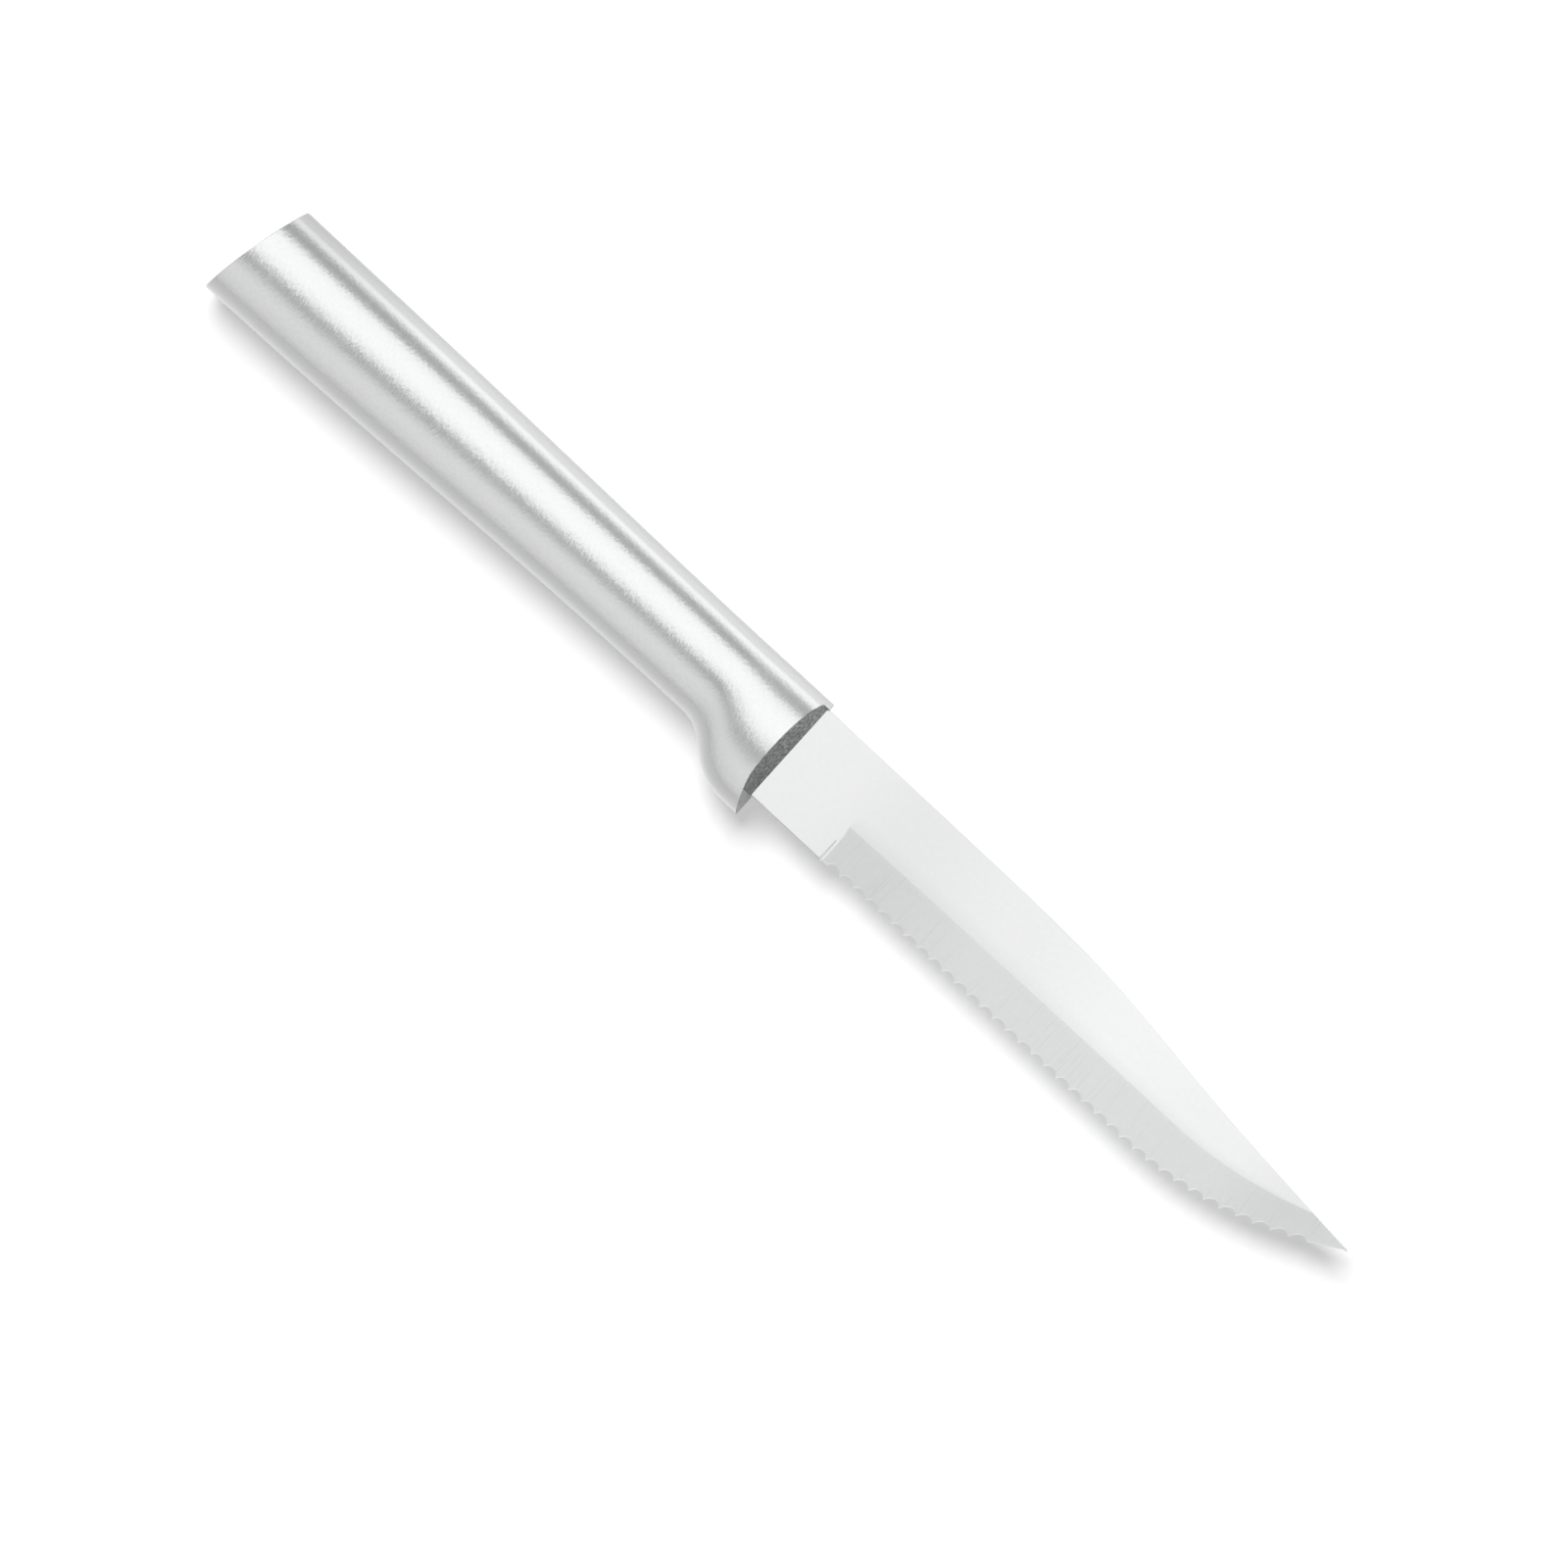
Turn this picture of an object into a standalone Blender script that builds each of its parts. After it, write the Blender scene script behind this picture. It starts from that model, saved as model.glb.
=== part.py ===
"""Serrated steak knife: a ground steel blade with its tang cast into a solid aluminium handle.

The knife lies on its side on the plane z = 0. +X runs from the butt of the handle to the point
of the blade, +Y towards the spine and +Z up. Lengths are in metres. Places along the knife are
measured from the front of the handle, where the blade comes out, and places across it from the
back of the handle at the butt.
"""

import math

import bmesh
import bpy
from mathutils import Matrix, Vector
from mathutils.geometry import interpolate_bezier

# Handle, seen from the side
HANDLE_LENGTH = 0.0983
BUTT_HEIGHT = 0.0164
BUTT_SLANT = 0.00335
BUTT_DOME = 0.00034
WAIST_HEIGHT = 0.0141
WAIST_POSITION = 0.0190
WAIST_START = 0.0700
BACK_HOLLOW = 0.0003
GUARD_HEIGHT = 0.0193
GUARD_BACK_DROP = 0.0002
GUARD_NOSE = 0.0020
GUARD_CURVE_LENGTH = 0.0123
GUARD_CURVE_LEAD = 0.0049
GUARD_NOSE_LEAD = 0.0072

# Handle, seen along the knife
HANDLE_THICKNESS = 0.0125
WAIST_THICKNESS = 0.0117
SECTION_POWER = 2.15
FRONT_DRAFT = 0.0024

# Blade outline
BLADE_LENGTH = 0.0985
BLADE_HEIGHT = 0.0152
BLADE_THICKNESS = 0.0013
BLADE_SET_DOWN = 0.0011
SPINE_STRAIGHT = 0.0321
SPINE_BEND_LEAD = 0.0297
POINT_DROP = 0.0055
POINT_LEAD = 0.0426
POINT_SLOPE = 0.0717
EDGE_SWEEP_LENGTH = 0.0318
ROOT_LENGTH = 0.01235
ROOT_EXTRA_HEIGHT = 0.0002
ROOT_STEP_LENGTH = 0.0004

# Ground bevel, alike on both sides
BEVEL_HEIGHT = 0.0062
BEVEL_HEIGHT_AT_STOP = 0.0057
BEVEL_SWEEP_LENGTH = 0.0285
BEVEL_SWEEP_RADIUS = 0.0633
EDGE_THICKNESS = 0.0002

# Scallops, ground from the lower side
SCALLOP_PITCH = 0.00229
SCALLOP_RADIUS = 0.0011
SCALLOP_DEPTH = 0.0008
SCALLOP_SETBACK = 0.0012
PLAIN_POINT_LENGTH = 0.00485
FLUTE_LEAN = math.radians(70)

# Tang, cast into the handle; it keeps the thickness of the rolled strip
TANG_THICKNESS = 0.0014
ROOT_DEPTH = 0.0040
TANG_LENGTH = 0.0600
TANG_WIDTH = 0.0095
TANG_SET_DOWN = 0.0017
TANG_CORNER_RADIUS = 0.0030
KEY_HOLE_DIAMETER = 0.0046
KEY_HOLE_FROM_ROOT = 0.0130
KEY_HOLE_FROM_END = 0.0100
POCKET_GAP = 0.0003

# Fineness of the faceted shapes
SECTION_SIDES = 30
HANDLE_STATION_STEP = 0.0045
GUARD_STATION_STEP = 0.0011
SWEEP_STEP = 0.0015
FLUTE_SIDES = 20
CURVE_POINTS = 24
DOME_STEPS = 2
CORNER_STEPS = 6

# Places worked out from the sizes
OVERALL_LENGTH = HANDLE_LENGTH + BLADE_LENGTH
OVERALL_HEIGHT = GUARD_HEIGHT + GUARD_BACK_DROP
FRONT_X = HANDLE_LENGTH - OVERALL_LENGTH / 2
BUTT_X = FRONT_X - HANDLE_LENGTH
WAIST_X = FRONT_X - WAIST_POSITION
BACK_Y = OVERALL_HEIGHT / 2
BUTT_BELLY_Y = BACK_Y - BUTT_HEIGHT
MIDDLE_Z = HANDLE_THICKNESS / 2
SPINE_Y = BACK_Y - BLADE_SET_DOWN
EDGE_Y = SPINE_Y - BLADE_HEIGHT
ROOT_EDGE_Y = EDGE_Y - ROOT_EXTRA_HEIGHT
POINT_X = FRONT_X + BLADE_LENGTH
POINT_Y = SPINE_Y - POINT_DROP
STOP_X = FRONT_X + ROOT_LENGTH
SERRATED_LENGTH = BLADE_LENGTH - ROOT_LENGTH - SCALLOP_SETBACK - PLAIN_POINT_LENGTH
SHOULDER_X = FRONT_X - ROOT_DEPTH
TANG_END_X = FRONT_X - TANG_LENGTH
TANG_TOP_Y = SPINE_Y - TANG_SET_DOWN
TANG_BOTTOM_Y = TANG_TOP_Y - TANG_WIDTH
CHEEK_START_X = FRONT_X - POCKET_GAP / 2
CUT_MARGIN = 0.0010


def clear_scene():
    """Remove whatever the scene holds."""
    for item in list(bpy.data.objects):
        bpy.data.objects.remove(item, do_unlink=True)


def make_collection(name):
    """Add a collection to the scene."""
    collection = bpy.data.collections.new(name)
    bpy.context.scene.collection.children.link(collection)
    return collection


def make_material(name, colour, roughness):
    """Make a bare metal finish."""
    material = bpy.data.materials.new(name)
    material.use_nodes = True
    shader = material.node_tree.nodes["Principled BSDF"]
    shader.inputs["Base Color"].default_value = (*colour, 1.0)
    shader.inputs["Metallic"].default_value = 1.0
    shader.inputs["Roughness"].default_value = roughness
    return material


def ease(share):
    """Rise smoothly from 0 to 1 as share does, and stay level outside."""
    share = min(max(share, 0.0), 1.0)
    return share * share * (3.0 - 2.0 * share)


def arc_rise(radius, run):
    """Height that an arc gains over a run from where it is level."""
    return radius - math.sqrt(radius * radius - run * run)


def bezier_points(start, start_lead, end_lead, end):
    """Points along one Bezier curve in the plane, both ends included."""
    return interpolate_bezier(Vector(start), Vector(start_lead), Vector(end_lead), Vector(end),
                              CURVE_POINTS)


def height_on(points, x):
    """Y of a curve that runs along X, read at x."""
    for first, second in zip(points, points[1:]):
        if first.x <= x <= second.x:
            share = (x - first.x) / (second.x - first.x)
            return first.y + share * (second.y - first.y)
    return points[0].y if x < points[0].x else points[-1].y


# The back and the belly of the handle

def share_towards_waist(x):
    """How far x lies from where the handle begins to draw in, 0, to its waist, 1."""
    return (x - (FRONT_X - WAIST_START)) / (WAIST_START - WAIST_POSITION)


def back_line(x):
    """Y of the handle's back: straight, with a slight hollow behind the blade."""
    hollow = BACK_HOLLOW * ease(share_towards_waist(x))
    rise = (BACK_HOLLOW - GUARD_BACK_DROP) * ease((x - WAIST_X) / WAIST_POSITION)
    return BACK_Y - hollow + rise


def guard_curve():
    """The drop from the waist to the nose of the guard."""
    waist_y = BACK_Y - BACK_HOLLOW - WAIST_HEIGHT
    nose_y = BACK_Y - GUARD_BACK_DROP - GUARD_HEIGHT
    nose_x = FRONT_X - GUARD_NOSE
    start_x = nose_x - GUARD_CURVE_LENGTH
    return bezier_points((start_x, waist_y), (start_x + GUARD_CURVE_LEAD, waist_y),
                         (nose_x - GUARD_NOSE_LEAD, nose_y), (nose_x, nose_y))


def belly_line(x, guard):
    """Y of the handle's belly: a slow rise to the waist, then the guard."""
    if x > guard[0].x:
        return height_on(guard, x)
    rise = ease((x - BUTT_X) / (WAIST_X - BUTT_X))
    return BUTT_BELLY_Y + (guard[0].y - BUTT_BELLY_Y) * rise


def half_thickness(x):
    """Half of the handle's thickness: full at both ends and leaner at the waist."""
    thinning = (HANDLE_THICKNESS - WAIST_THICKNESS) / 2
    narrows = ease(share_towards_waist(x))
    widens = ease((x - WAIST_X) / (WAIST_POSITION - 2 * FRONT_DRAFT))
    return HANDLE_THICKNESS / 2 - thinning * (narrows - widens)


def butt_x_at(y):
    """X of the slanted butt at a height on it."""
    return BUTT_X + BUTT_SLANT * (y - BUTT_BELLY_Y) / BUTT_HEIGHT


def handle_stations():
    """How far each section lies from the butt towards the front, from 0 to 1."""
    guard_share = 1 - (GUARD_NOSE + GUARD_CURVE_LENGTH) / HANDLE_LENGTH
    last_share = 1 - 1.25 * FRONT_DRAFT / HANDLE_LENGTH
    body_count = round(guard_share * HANDLE_LENGTH / HANDLE_STATION_STEP)
    guard_count = round((last_share - guard_share) * HANDLE_LENGTH / GUARD_STATION_STEP)
    body = [guard_share * step / body_count for step in range(body_count)]
    front = [guard_share + (last_share - guard_share) * step / guard_count
             for step in range(guard_count + 1)]
    return body + front


def section_points(share, guard):
    """One oval section of the handle, from the back over the top and round."""
    back_x = butt_x_at(BACK_Y) * (1 - share) + FRONT_X * share
    belly_x = BUTT_X * (1 - share) + FRONT_X * share
    top_y = back_line(back_x)
    bottom_y = belly_line(belly_x, guard)
    centre = Vector(((back_x + belly_x) / 2, (top_y + bottom_y) / 2, MIDDLE_Z))
    half_height = Vector(((back_x - belly_x) / 2, (top_y - bottom_y) / 2, 0.0))
    depth = half_thickness(centre.x)
    power = 2 / SECTION_POWER
    flat_edge = math.cos(math.pi / SECTION_SIDES) ** power
    points = []
    for side in range(SECTION_SIDES):
        angle = 2 * math.pi * side / SECTION_SIDES
        across = math.copysign(abs(math.cos(angle)) ** power, math.cos(angle))
        up = math.copysign(abs(math.sin(angle)) ** power, math.sin(angle))
        points.append(centre + half_height * across + Vector((0, 0, depth * up / flat_edge)))
    return points


def front_points(last_section):
    """The rim of the front face, drafted back from the plane of the blade."""
    points = []
    for point in last_section:
        lift = abs(point.z - MIDDLE_Z) / (HANDLE_THICKNESS / 2)
        points.append(Vector((FRONT_X - FRONT_DRAFT * lift, point.y, point.z)))
    return points


def ring_of(cap, place):
    """The vertices of an end face, in the order of the first section."""
    return sorted(cap.verts, key=lambda vertex: vertex[place])


def loft(mesh, sections):
    """Extrude an end face through all sections and return the rings of both ends."""
    place = mesh.verts.layers.int.new("place")
    circle = bmesh.ops.create_circle(mesh, cap_ends=True, segments=len(sections[0]), radius=1.0)
    for index, vertex in enumerate(circle["verts"]):
        vertex[place] = index
    start = next(iter(mesh.faces))
    cap = start
    for vertex, point in zip(ring_of(cap, place), sections[0]):
        vertex.co = point
    for points in sections[1:]:
        grown = bmesh.ops.extrude_face_region(mesh, geom=[cap])["geom"]
        if cap is not start:
            bmesh.ops.delete(mesh, geom=[cap], context="FACES_ONLY")
        cap = next(item for item in grown if isinstance(item, bmesh.types.BMFace))
        for vertex, point in zip(ring_of(cap, place), points):
            vertex.co = point
    bmesh.ops.recalc_face_normals(mesh, faces=mesh.faces)
    return start, ring_of(cap, place)


def dome_butt(mesh, butt):
    """Raise the middle of the butt a little, in steps that follow a parabola."""
    rise = 0.0
    for step in range(1, DOME_STEPS + 1):
        share = step / (4 * DOME_STEPS)
        height = BUTT_DOME * 4 * share * (1 - share)
        bmesh.ops.inset_region(mesh, faces=[butt], thickness=BUTT_HEIGHT / (4 * DOME_STEPS),
                               depth=height - rise)
        rise = height


def new_object(mesh, name, collection, finish=None):
    """Turn a bmesh into an object with its origin on the knife's."""
    bmesh.ops.recalc_face_normals(mesh, faces=mesh.faces)
    data = bpy.data.meshes.new(name)
    mesh.to_mesh(data)
    mesh.free()
    if finish:
        data.materials.append(finish)
    item = bpy.data.objects.new(name, data)
    collection.objects.link(item)
    return item


def hide_cutter(cutter):
    """Show a cutting shape as wires and keep it out of the model."""
    cutter.hide_render = True
    cutter.display_type = "WIRE"


def cut(item, cutter):
    """Take the cutter's shape out of an object."""
    modifier = item.modifiers.new(cutter.name, "BOOLEAN")
    modifier.operation = "DIFFERENCE"
    modifier.solver = "EXACT"
    modifier.object = cutter
    hide_cutter(cutter)


def build_handle(collection, finish):
    """Loft the handle through its sections, dome its butt and draft its front."""
    guard = guard_curve()
    sections = [section_points(share, guard) for share in handle_stations()]
    sections.append(front_points(section_points(1.0, guard)))
    mesh = bmesh.new()
    butt, rim = loft(mesh, sections)
    bmesh.ops.connect_verts(mesh, verts=[rim[0], rim[SECTION_SIDES // 2]])
    dome_butt(mesh, butt)
    return new_object(mesh, "handle", collection, finish)


# The blade and its tang

def edge_line(x):
    """Y of the line through the scallops' tips, up to the point."""
    sweep_x = POINT_X - EDGE_SWEEP_LENGTH
    rise = POINT_Y - EDGE_Y
    radius = (EDGE_SWEEP_LENGTH ** 2 + rise ** 2) / (2 * rise)
    return EDGE_Y + arc_rise(radius, max(x - sweep_x, 0.0))


def bevel_line(x):
    """Y where the ground bevel meets the flat cheek."""
    sweep_x = POINT_X - BEVEL_SWEEP_LENGTH
    share = min((x - STOP_X) / (sweep_x - STOP_X), 1.0)
    growth = (BEVEL_HEIGHT - BEVEL_HEIGHT_AT_STOP) * (1 - (1 - share) ** 2)
    rise = arc_rise(BEVEL_SWEEP_RADIUS, max(x - sweep_x, 0.0))
    return EDGE_Y + BEVEL_HEIGHT_AT_STOP + growth + rise


def spine_outline():
    """The spine from the shoulder to the point."""
    bend_x = FRONT_X + SPINE_STRAIGHT
    bend = bezier_points((bend_x, SPINE_Y), (bend_x + SPINE_BEND_LEAD, SPINE_Y),
                         (POINT_X - POINT_LEAD, POINT_Y + POINT_SLOPE * POINT_LEAD),
                         (POINT_X, POINT_Y))
    return [Vector((SHOULDER_X, SPINE_Y))] + bend


def edge_outline():
    """The edge from beside the point back to the shoulder, without its scallops."""
    steps = round(EDGE_SWEEP_LENGTH / SWEEP_STEP)
    sweep = [POINT_X - EDGE_SWEEP_LENGTH * step / steps for step in range(1, steps + 1)]
    points = [Vector((x, edge_line(x))) for x in sweep]
    points.append(Vector((STOP_X + ROOT_STEP_LENGTH, EDGE_Y)))
    points.append(Vector((STOP_X, ROOT_EDGE_Y)))
    points.append(Vector((SHOULDER_X, ROOT_EDGE_Y)))
    return points


def corner(centre_x, centre_y, radius, start_angle):
    """A quarter circle, turning clockwise from its start angle in degrees."""
    points = []
    for step in range(CORNER_STEPS + 1):
        angle = math.radians(start_angle - 90 * step / CORNER_STEPS)
        points.append(Vector((centre_x + radius * math.cos(angle),
                              centre_y + radius * math.sin(angle))))
    return points


def tang_outline(grow):
    """The tang behind the shoulder, from below round its end, grown on all sides."""
    radius = TANG_CORNER_RADIUS
    neck_x = SHOULDER_X - grow
    points = [Vector((neck_x, TANG_BOTTOM_Y - grow))]
    points += corner(TANG_END_X + radius, TANG_BOTTOM_Y + radius, radius + grow, 270)
    points += corner(TANG_END_X + radius, TANG_TOP_Y - radius, radius + grow, 180)
    points.append(Vector((neck_x, TANG_TOP_Y + grow)))
    return points


def key_holes(shrink):
    """The outlines of the tang's two keying holes."""
    middle_y = (TANG_TOP_Y + TANG_BOTTOM_Y) / 2
    radius = KEY_HOLE_DIAMETER / 2 - shrink
    holes = []
    for x in (SHOULDER_X - KEY_HOLE_FROM_ROOT, TANG_END_X + KEY_HOLE_FROM_END):
        points = []
        for start_angle in (360, 270, 180, 90):
            points += corner(x, middle_y, radius, start_angle)[:-1]
        holes.append(points)
    return holes


def flat_plate(loops, thickness, name, collection, finish=None):
    """Fill flat outlines, with holes, and make them a closed plate about the middle plane."""
    curve = bpy.data.curves.new(name, "CURVE")
    curve.dimensions = "2D"
    curve.fill_mode = "BOTH"
    curve.extrude = thickness / 2
    for loop in loops:
        spline = curve.splines.new("POLY")
        spline.points.add(len(loop) - 1)
        for place, point in zip(spline.points, loop):
            place.co = (point.x, point.y, 0.0, 1.0)
        spline.use_cyclic_u = True
    drawn = bpy.data.objects.new(name + "_outline", curve)
    collection.objects.link(drawn)
    data = bpy.data.meshes.new_from_object(drawn.evaluated_get(
        bpy.context.evaluated_depsgraph_get()))
    bpy.data.objects.remove(drawn, do_unlink=True)
    mesh = bmesh.new()
    mesh.from_mesh(data)
    bpy.data.meshes.remove(data)
    bmesh.ops.remove_doubles(mesh, verts=mesh.verts, dist=0.000001)
    bmesh.ops.translate(mesh, verts=mesh.verts, vec=(0.0, 0.0, MIDDLE_Z))
    return new_object(mesh, name, collection, finish)


def cheek_cutter(collection):
    """The thin layers ground off both sides of the strip, in front of the handle."""
    length = POINT_X + CUT_MARGIN - CHEEK_START_X
    offset = (BLADE_THICKNESS + TANG_THICKNESS) / 2
    mesh = bmesh.new()
    for side in (-1, 1):
        centre = Vector((CHEEK_START_X + length / 2, (SPINE_Y + EDGE_Y) / 2,
                         MIDDLE_Z + side * offset))
        size = Matrix.Diagonal((length, 2 * BLADE_HEIGHT, TANG_THICKNESS, 1.0))
        bmesh.ops.create_cube(mesh, size=1.0, matrix=Matrix.Translation(centre) @ size)
    return new_object(mesh, "cheek_cutter", collection)


def bevel_cutter(side, name, collection):
    """The metal ground away outside one bevel: side is 1 for the upper one, -1 for the lower."""
    end_x = POINT_X + CUT_MARGIN
    steps = round((end_x - STOP_X) / (2 * SWEEP_STEP))
    places = [STOP_X + (end_x - STOP_X) * step / steps for step in range(steps + 1)]
    mesh = bmesh.new()
    loft(mesh, [bevel_wedge(x, side) for x in places])
    return new_object(mesh, name, collection)


def bevel_wedge(x, side):
    """The three corners of the ground-away wedge at one place along the blade."""
    edge_y = edge_line(x)
    bevel_y = bevel_line(x)
    slope = (BLADE_THICKNESS - EDGE_THICKNESS) / 2 / (bevel_y - edge_y)
    outer_y = edge_y - 2 * CUT_MARGIN
    inner_y = bevel_y + CUT_MARGIN
    outer_z = EDGE_THICKNESS / 2 + slope * (outer_y - edge_y)
    inner_z = EDGE_THICKNESS / 2 + slope * (inner_y - edge_y)
    return [Vector((x, outer_y, MIDDLE_Z + side * outer_z)),
            Vector((x, inner_y, MIDDLE_Z + side * inner_z)),
            Vector((x, outer_y, MIDDLE_Z + side * BLADE_THICKNESS))]


def flute_cutter(first, collection):
    """A leaning round cutter for every second scallop, so that wide neighbours may meet."""
    start_x = STOP_X + SCALLOP_SETBACK
    height = 2 * BLADE_THICKNESS
    top_z = MIDDLE_Z + EDGE_THICKNESS / 2
    mesh = bmesh.new()
    for index in range(first, round(SERRATED_LENGTH / SCALLOP_PITCH), 2):
        x = start_x + (index + 0.5) * SCALLOP_PITCH
        slope = (edge_line(x + SCALLOP_PITCH / 2) - edge_line(x - SCALLOP_PITCH / 2)) / SCALLOP_PITCH
        centre = Vector((x, edge_line(x) + SCALLOP_DEPTH - SCALLOP_RADIUS, top_z))
        lean = Matrix.Identity(4)
        lean[1][0] = slope
        lean[1][2] = -math.tan(FLUTE_LEAN)
        bmesh.ops.create_cone(mesh, cap_ends=True, segments=FLUTE_SIDES, radius1=SCALLOP_RADIUS,
                              radius2=SCALLOP_RADIUS, depth=height,
                              matrix=Matrix.Translation(centre) @ lean)
    return new_object(mesh, "flute_cutter_" + str(first + 1), collection)


def build_blade(collection, cutters, finish):
    """Cut the blank with its tang, grind its cheeks and both bevels, and then the scallops."""
    blank = spine_outline() + edge_outline() + tang_outline(0.0)
    blade = flat_plate([blank] + key_holes(0.0), TANG_THICKNESS, "blade", collection, finish)
    cut(blade, cheek_cutter(cutters))
    cut(blade, bevel_cutter(1, "upper_bevel_cutter", cutters))
    cut(blade, bevel_cutter(-1, "lower_bevel_cutter", cutters))
    for first in (0, 1):
        cut(blade, flute_cutter(first, cutters))
    return blade


def pocket_cutter(cutters):
    """The room that the blade's root and tang take in the handle."""
    mouth_x = FRONT_X + CUT_MARGIN
    inner_x = SHOULDER_X - POCKET_GAP
    top_y = SPINE_Y + POCKET_GAP
    bottom_y = ROOT_EDGE_Y - POCKET_GAP
    loop = [Vector((inner_x, top_y)), Vector((mouth_x, top_y)),
            Vector((mouth_x, bottom_y)), Vector((inner_x, bottom_y))]
    return flat_plate([loop + tang_outline(POCKET_GAP)] + key_holes(POCKET_GAP),
                      TANG_THICKNESS + 2 * POCKET_GAP, "pocket_cutter", cutters)


def shade(item):
    """Shade the round faces smoothly and keep the real edges sharp."""
    item.data.shade_smooth()
    item.data.set_sharp_from_angle(angle=math.radians(25))


def main():
    """Build the knife."""
    clear_scene()
    knife = make_collection("steak_knife")
    cutters = make_collection("cutters")
    aluminium = make_material("brushed_aluminium", (0.80, 0.81, 0.80), 0.35)
    steel = make_material("ground_steel", (0.62, 0.63, 0.62), 0.30)
    handle = build_handle(knife, aluminium)
    cut(handle, pocket_cutter(cutters))
    blade = build_blade(knife, cutters, steel)
    root = bpy.data.objects.new("steak_knife_root", None)
    knife.objects.link(root)
    for item in (handle, blade):
        shade(item)
        item.parent = root


main()
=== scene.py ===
"""The finished surfaces of a serrated steak knife, with its floor, light and camera.

The knife lies on its side on the plane z = 0, in metres: +X runs to the point of the blade, +Y to
the spine and +Z up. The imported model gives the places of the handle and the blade, and the settings
below give the sizes that it doesn't. Run as a script, the file makes the whole scene. The panel in
the sidebar of the 3D view makes each part again with other settings.
"""

import math

import bmesh
import bpy
from bpy.props import FloatProperty, FloatVectorProperty, PointerProperty
from bpy.types import Operator, Panel, PropertyGroup
from mathutils import Matrix, Vector
from mathutils.geometry import interpolate_bezier


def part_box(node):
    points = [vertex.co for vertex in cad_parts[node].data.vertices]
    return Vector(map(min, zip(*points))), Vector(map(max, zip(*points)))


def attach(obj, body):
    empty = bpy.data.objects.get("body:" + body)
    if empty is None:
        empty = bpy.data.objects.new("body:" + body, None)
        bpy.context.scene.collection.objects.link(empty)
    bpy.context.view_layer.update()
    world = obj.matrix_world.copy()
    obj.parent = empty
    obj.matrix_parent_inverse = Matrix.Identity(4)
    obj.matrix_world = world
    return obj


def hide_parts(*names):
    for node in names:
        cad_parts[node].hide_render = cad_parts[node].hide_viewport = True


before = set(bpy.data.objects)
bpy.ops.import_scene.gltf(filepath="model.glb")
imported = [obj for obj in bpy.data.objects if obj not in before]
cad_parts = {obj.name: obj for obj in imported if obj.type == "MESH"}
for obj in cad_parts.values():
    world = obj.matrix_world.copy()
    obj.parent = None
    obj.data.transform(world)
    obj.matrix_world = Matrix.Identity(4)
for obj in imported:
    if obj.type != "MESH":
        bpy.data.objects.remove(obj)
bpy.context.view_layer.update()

bl_info = {
    "name": "Serrated steak knife",
    "version": (1, 0, 0),
    "blender": (4, 5, 0),
    "location": "View3D > Sidebar > Steak knife",
    "description": "Makes a steak knife with a cast handle, and the studio it lies in",
    "category": "Add Mesh",
}

HANDLE_LOW, HANDLE_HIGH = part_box("handle")
BLADE_LOW, BLADE_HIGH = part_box("blade")
MM = 0.001

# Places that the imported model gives
FRONT_X = HANDLE_HIGH.x
BUTT_X = HANDLE_LOW.x
BACK_Y = HANDLE_HIGH.y
NOSE_Y = HANDLE_LOW.y
HANDLE_THICKNESS = HANDLE_HIGH.z - HANDLE_LOW.z
MIDDLE_Z = (HANDLE_HIGH.z + HANDLE_LOW.z) / 2
TANG_END_X = BLADE_LOW.x
POINT_X = BLADE_HIGH.x
SPINE_Y = BLADE_HIGH.y
ROOT_EDGE_Y = BLADE_LOW.y
TANG_THICKNESS = BLADE_HIGH.z - BLADE_LOW.z

# Fineness of the meshes
HANDLE_SIDES = 144
BODY_STATION_STEP = 0.8 * MM
GUARD_STATION_STEP = 0.3 * MM
RIM_STEPS = 5
DOME_STEPS = 8
SCALLOP_STEPS = 20
POINT_STEPS = 20
PLUNGE_STEPS = 12
ROOT_STEPS = 8
CURVE_POINTS = 96
HOLE_SIDES = 48
CORNER_STEPS = 8
DRAFT_STEPS = 24
CORNER_ROWS = 5
CHEEK_ROWS = 4
LOWER_ROWS = 14
FIRST_RING = 0.3
GUARD_LEAD_IN = 1.5 * MM
ROW_GAP = 0.02 * MM
LINE_GAP = 0.05 * MM
SNAP = 0.001 * MM
MERGE_DISTANCE = 0.0005 * MM

# Degrees past which an edge stays sharp
HANDLE_SHARP = 28
BLADE_SHARP = 24

# How far the cutting shapes reach past what they cut, and what they leave
OVERCUT = 1 * MM
DRAFT_REACH = 1.6
TANG_OVERLAP = 0.5 * MM
POCKET_FIT = 0.02 * MM
FLUTE_REACH = 2.6 * MM
EDGE_LAND = 0.03 * MM

# How quickly the draft of the front gives way towards the nose: a power
NOSE_FADE = 1.5

# Towards the point: what the roundings may take of the blade's height, how low in it the bevel
# may begin, and what the honed strip and the flute may take of the bevel
CORNER_SHARE = 1 / 6
LINE_WEAR_SHARE = 1 / 20
LOWEST_LINE = 0.25
HONING_SHARE = 0.4
FLUTE_SHARE = 0.7

# Lean of the grinding lines, and what it gains towards the point
GRIND_LEAN = 0.02
GRIND_LEAN_GAIN = 0.12


def number(name, default, description, precision=4, **options):
    """A plain number."""
    return FloatProperty(name=name, description=description, default=default,
                         precision=precision, **options)


def length(name, default, description):
    """A length in metres."""
    return number(name, default, description, precision=5, unit="LENGTH")


def angle(name, degrees, description):
    """An angle, set in degrees."""
    return number(name, math.radians(degrees), description, subtype="ANGLE")


def share(name, default, description):
    """A number from 0 to 1."""
    return number(name, default, description, min=0.0, max=1.0, subtype="FACTOR")


def colour(name, default, description):
    """A linear colour."""
    return FloatVectorProperty(name=name, description=description, default=default, size=3,
                               min=0.0, max=1.0, subtype="COLOR")


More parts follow.
